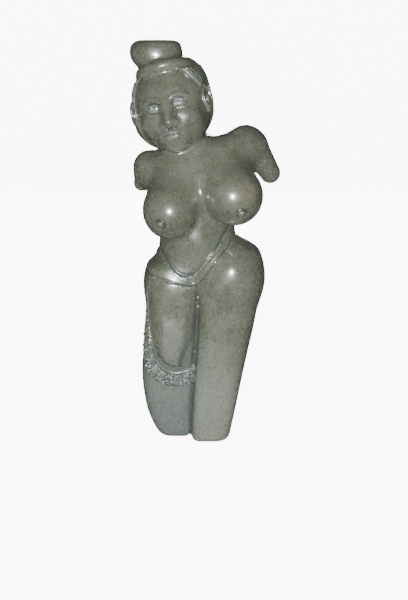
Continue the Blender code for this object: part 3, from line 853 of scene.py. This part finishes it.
def finest_work(points):
    """The face, the hair's edge, the fringe and the belt's lines in front."""
    local, angle = in_head(points)
    x, y, z = local.T
    features = (np.abs(x) < 5.4) & (y < -4.5) & (z > -8.2) & (z < 2.8)
    over_line = z - smooth_through(angle, HAIRLINE_ANGLES, HAIRLINE)
    hairline = (np.abs(over_line) < 0.7) & (np.abs(angle) < 60)
    lock = (z > 2.5) & (z < 8.6) & (angle > 35) & (angle < 75)
    ear = (np.abs(x) > 7.6) & (y < 2.2) & (np.abs(z) < 4.2)
    in_the_head = (points[:, 2] > CHIN_HEIGHT) & (features | hairline | lock | ear)
    inside, width, on_thigh = apron_inside(points)
    fringe = (inside < 0.3) & (-inside < width + 0.3) & (on_thigh > 0) & (points[:, 1] < -2)
    over_low, over_top, hip_angle = belt_edges(points)
    lines = ((np.abs(over_low) < 0.5) | (np.abs(over_top) < 0.7)) & (hip_angle > -75) & (hip_angle < 85)
    at_nipple = np.any([np.linalg.norm(points - np.array(p), axis=1) < 1.8 for p in NIPPLES], axis=0)
    return in_the_head | fringe | lines | at_nipple


def carve():
    """The carving's mesh, and where its masses' origin lies from the CAD model's."""
    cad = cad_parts[NODE].data
    origin = find_origin(points_of(cad) / HUNDREDTH)
    mesh = remeshed(cad.copy(), SKIN_VOXEL)
    points = settle(points_of(mesh) / HUNDREDTH - origin, edges_of(mesh), 3)
    for wanted in (fine_work, finest_work):
        set_points(mesh, points)
        refine(mesh, wanted(points))
        points = settle(points_of(mesh), edges_of(mesh), 3)
    slope, _ = slope_and_distance(points)
    normal = slope / np.linalg.norm(slope, axis=1, keepdims=True)
    relief, rough, painted_apron_shade = relief_and_roughness(points)
    points = points + normal * relief[:, None]
    # Painted shade: a darker colour laid into the carved hollows and the apron's recess, carried by the
    # hollow attribute.
    hollow = np.maximum(hollow_shade(points, edges_of(mesh), normal), APRON_SHADE_SHARE * painted_apron_shade)
    points[:, 2] = np.where(points[:, 2] < BASE_SNAP, 0.0, points[:, 2])
    for name, values in (("unpolished", rough), ("hollow", hollow)):
        layer = mesh.attributes.new(name, "FLOAT", "POINT")
        layer.data.foreach_set("value", values.astype(np.float32))
    set_points(mesh, (points + origin) * HUNDREDTH)
    mesh.shade_smooth()
    mesh.name = "carving"
    return mesh, origin


def add_node(tree, kind, inputs, **settings):
    """A node with its inputs set to values or linked from other nodes' outputs."""
    node = tree.nodes.new(kind)
    for name, value in settings.items():
        setattr(node, name, value)
    for name, value in inputs.items():
        if isinstance(value, bpy.types.NodeSocket):
            tree.links.new(value, node.inputs[name])
        else:
            node.inputs[name].default_value = value
    return node


def noise_node(tree, where, scale, detail=3.0):
    node = add_node(tree, "ShaderNodeTexNoise", {"Vector": where, "Scale": scale, "Detail": detail})
    return node.outputs["Fac"]


def spread(tree, value, low, high, to_low=0.0, to_high=1.0):
    """The value's run from low to high, smoothly mapped to another."""
    inputs = {"Value": value, "From Min": low, "From Max": high, "To Min": to_low, "To Max": to_high}
    return add_node(tree, "ShaderNodeMapRange", inputs, interpolation_type="SMOOTHSTEP").outputs["Result"]


def maths(tree, operation, a, b):
    return add_node(tree, "ShaderNodeMath", {0: a, 1: b}, operation=operation).outputs[0]


def blended(tree, factor, first, second):
    node = add_node(tree, "ShaderNodeMix", {0: factor, 6: first, 7: second}, data_type="RGBA")
    return node.outputs[2]


def stone_material():
    """Polished grey-green stone: clouded, grained, paler down the legs, darker with painted shade in its
    hollows, and rough where it isn't polished.
    """
    material = bpy.data.materials.new("polished_stone")
    material.use_nodes = True
    tree = material.node_tree
    shader = tree.nodes["Principled BSDF"]
    where = tree.nodes.new("ShaderNodeTexCoord").outputs["Object"]
    place = add_node(tree, "ShaderNodeSeparateXYZ", {0: where}).outputs
    height = place["Z"]

    clouds = noise_node(tree, where, CLOUD_SCALE)
    mottle = noise_node(tree, where, MOTTLE_SCALE)
    grain = noise_node(tree, where, GRAIN_SCALE)
    colour = blended(tree, spread(tree, clouds, 0.35, 0.65), STONE_DARK, STONE_LIGHT)
    colour = blended(tree, spread(tree, mottle, 0.35, 0.70, 0.0, MOTTLE_SHARE), colour, STONE_MOTTLE)
    warped = maths(tree, "MULTIPLY_ADD", clouds, CLOUD_LIFT)
    tree.links.new(height, warped.node.inputs[2])
    down = spread(tree, warped, PALE_HEIGHTS[1] + CLOUD_LIFT / 2, PALE_HEIGHTS[0] + CLOUD_LIFT / 2)
    colour = blended(tree, down, colour, STONE_PALE)
    cool = maths(tree, "MULTIPLY", down, spread(tree, place["X"], *COOL_ACROSS, 0.0, COOL_SHARE))
    colour = blended(tree, cool, colour, STONE_COOL)

    away = add_node(tree, "ShaderNodeVectorMath", {0: where, 1: PATCH_PLACE}, operation="DISTANCE")
    wander = maths(tree, "MULTIPLY", mottle, PATCH_WANDER)
    off_patch = maths(tree, "ADD", away.outputs["Value"], wander)
    patch = spread(tree, off_patch, *PATCH_REACH, 0.0, PATCH_SHARE)
    colour = blended(tree, patch, colour, PATCH_COLOUR)

    specks = noise_node(tree, where, SPECK_SCALE, 2.0)
    dark = spread(tree, specks, 0.54, 0.70, 0.0, SPECK_DARK_SHARE)
    pale = spread(tree, specks, 0.45, 0.30, 0.0, SPECK_PALE_SHARE)
    colour = blended(tree, dark, colour, SPECK_DARK)
    colour = blended(tree, pale, colour, SPECK_PALE)

    left_rough = add_node(tree, "ShaderNodeAttribute", {}, attribute_name="unpolished").outputs["Fac"]
    crust = noise_node(tree, where, CRUST_SCALE, 4.0)
    patchy = spread(tree, crust, 0.42, 0.60)
    bare = maths(tree, "MULTIPLY", left_rough, patchy)
    colour = blended(tree, bare, colour, UNPOLISHED)
    # Painted shade: the hollow attribute darkens the stone's colour in carved hollows and the apron's recess.
    hollow = add_node(tree, "ShaderNodeAttribute", {}, attribute_name="hollow").outputs["Fac"]
    colour = blended(tree, maths(tree, "MULTIPLY", hollow, PAINTED_HOLLOW_SHADE_SHARE), colour, PAINTED_HOLLOW_SHADE)
    tree.links.new(colour, shader.inputs["Base Color"])

    polish = spread(tree, mottle, 0.3, 0.7, POLISH[0], POLISH[1])
    matt = maths(tree, "MULTIPLY", bare, ROUGHER)
    tree.links.new(maths(tree, "ADD", polish, matt), shader.inputs["Roughness"])
    shader.inputs["Coat Weight"].default_value = COAT_WEIGHT
    shader.inputs["Coat Roughness"].default_value = COAT_ROUGHNESS

    fine = maths(tree, "MULTIPLY", grain, GRAIN_BUMP)
    coarse = maths(tree, "MULTIPLY", maths(tree, "MULTIPLY", crust, left_rough), CRUST_BUMP)
    heights = maths(tree, "ADD", fine, coarse)
    settings = {"Height": heights, "Strength": BUMP_STRENGTH, "Distance": BUMP_DEPTH}
    bump = add_node(tree, "ShaderNodeBump", settings)
    tree.links.new(bump.outputs["Normal"], shader.inputs["Normal"])
    return material


def build_stage():
    """A pale floor that sweeps up into a round wall."""
    floor = bpy.data.meshes.new("floor")
    shape = bmesh.new()
    profile = [(0.0, 0.0), (FLOOR_RADIUS, 0.0)]
    for turn in np.linspace(SWEEP_START, math.pi / 2, SWEEP_POINTS):
        out = FLOOR_RADIUS + math.sin(turn) * SWEEP_RADIUS
        profile.append((out, SWEEP_RADIUS - math.cos(turn) * SWEEP_RADIUS))
    profile.append((FLOOR_RADIUS + SWEEP_RADIUS, WALL_TOP))
    verts = [shape.verts.new((r, 0, z)) for r, z in profile]
    line = [shape.edges.new(pair) for pair in zip(verts, verts[1:])]
    bmesh.ops.spin(
        shape,
        geom=verts + line,
        cent=(0, 0, 0),
        axis=(0, 0, 1),
        angle=2 * math.pi,
        steps=FLOOR_SIDES,
        use_duplicate=False,
    )
    bmesh.ops.remove_doubles(shape, verts=shape.verts, dist=0.0001)
    bmesh.ops.recalc_face_normals(shape, faces=shape.faces)
    shape.to_mesh(floor)
    shape.free()
    floor.shade_smooth()
    stage = bpy.data.objects.new("floor", floor)
    bpy.context.scene.collection.objects.link(stage)
    material = bpy.data.materials.new("pale_floor")
    material.use_nodes = True
    tree = material.node_tree
    shader = tree.nodes["Principled BSDF"]
    shader.inputs["Base Color"].default_value = PAPER_WHITE
    shader.inputs["Roughness"].default_value = PAPER_ROUGHNESS
    seen = tree.nodes.new("ShaderNodeLightPath")
    strength = tree.nodes.new("ShaderNodeMath")
    strength.operation = "MULTIPLY"
    strength.inputs[1].default_value = BACKDROP_GLOW
    tree.links.new(seen.outputs["Is Camera Ray"], strength.inputs[0])
    shader.inputs["Emission Color"].default_value = (1, 1, 1, 1)
    tree.links.new(strength.outputs[0], shader.inputs["Emission Strength"])
    floor.materials.append(material)
    stage.visible_glossy = False


def area_light(name, place, size, power):
    """A round light aimed at the middle of the figure."""
    data = bpy.data.lights.new(name, "AREA")
    data.shape = "DISK"
    data.size = size
    data.energy = power
    light = bpy.data.objects.new(name, data)
    light.location = place
    light.rotation_euler = (Vector(LIGHT_AIM) - Vector(place)).to_track_quat("-Z", "Y").to_euler()
    bpy.context.scene.collection.objects.link(light)


def build_lights(camera_place):
    """A small flash beside the camera, three softboxes and a dim room."""
    flash = Vector(camera_place) + Vector(FLASH_FROM_CAMERA)
    area_light("flash", flash, FLASH_WIDTH, FLASH_POWER)
    for name, (place, size, power) in SOFTBOXES.items():
        area_light(name, place, size, power)
    world = bpy.data.worlds.new("studio")
    world.use_nodes = True
    room = world.node_tree.nodes["Background"]
    room.inputs["Color"].default_value = PAPER_WHITE
    room.inputs["Strength"].default_value = ROOM_STRENGTH
    bpy.context.scene.world = world


def build_camera(origin):
    """The photo's camera. Gives back its place."""
    pitch = math.radians(CAMERA_PITCH)
    aim = np.array([0, 0, CAMERA_AIM_HEIGHT]) + origin * HUNDREDTH
    place = aim + CAMERA_DISTANCE * np.array([0, -math.cos(pitch), math.sin(pitch)])
    data = bpy.data.cameras.new("camera")
    data.sensor_fit = "AUTO"
    data.sensor_width = 36
    data.lens = CAMERA_LENS
    data.clip_start = 0.01
    camera = bpy.data.objects.new("camera", data)
    camera.location = place
    camera.rotation_euler = (math.radians(90) - pitch, 0, 0)
    bpy.context.scene.collection.objects.link(camera)
    bpy.context.scene.camera = camera
    return place


mesh, origin = carve()
carving = bpy.data.objects.new("carving", mesh)
bpy.context.scene.collection.objects.link(carving)
mesh.materials.clear()
mesh.materials.append(stone_material())
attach(carving, "root")
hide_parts(NODE)
build_stage()
build_lights(build_camera(origin))
